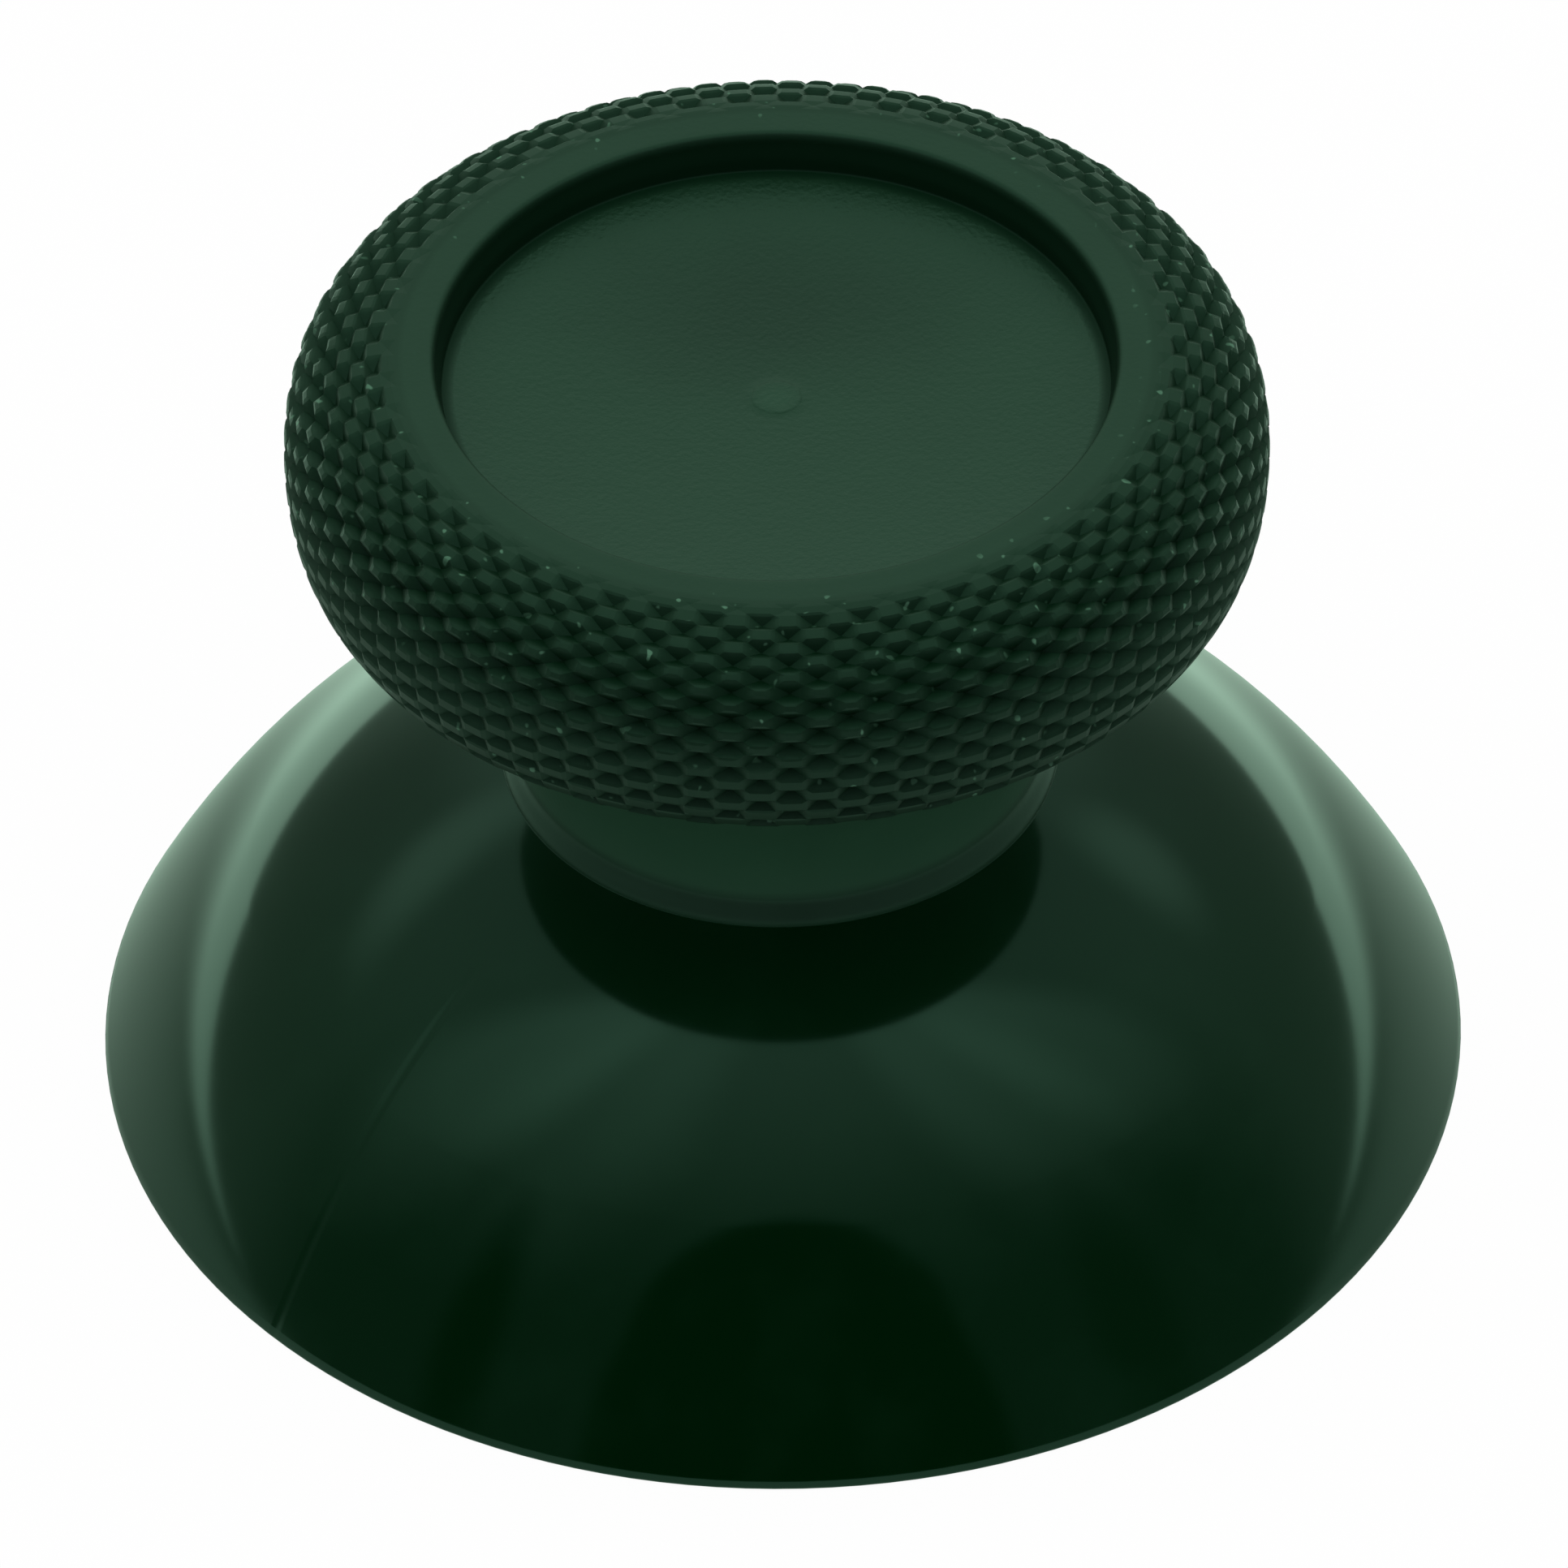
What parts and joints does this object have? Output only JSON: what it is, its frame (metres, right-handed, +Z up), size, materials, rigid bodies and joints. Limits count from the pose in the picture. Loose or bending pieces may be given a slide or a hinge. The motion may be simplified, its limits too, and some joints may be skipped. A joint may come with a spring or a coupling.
{
  "type": "thumbstick cap",
  "caption": "Domed thumbstick cap with a waisted neck, a diamond-knurled head round a shallow dished recess, and a shaft socket underneath.",
  "frame": {"origin": "centre of the plane that the skirt's rim stands on", "axes": "+Z up along the stick's axis, from the skirt's rim to the top ring; +X along the socket's flats"},
  "size_m": [0.024, 0.024, 0.0158],
  "materials": {
    "green_plastic": "dark green moulded plastic: polished skirt, satin neck and knurl, fine matte recess"
  },
  "bodies": {
    "root": {"thumbstick_cap": "green_plastic"}
  },
  "joints": []
}
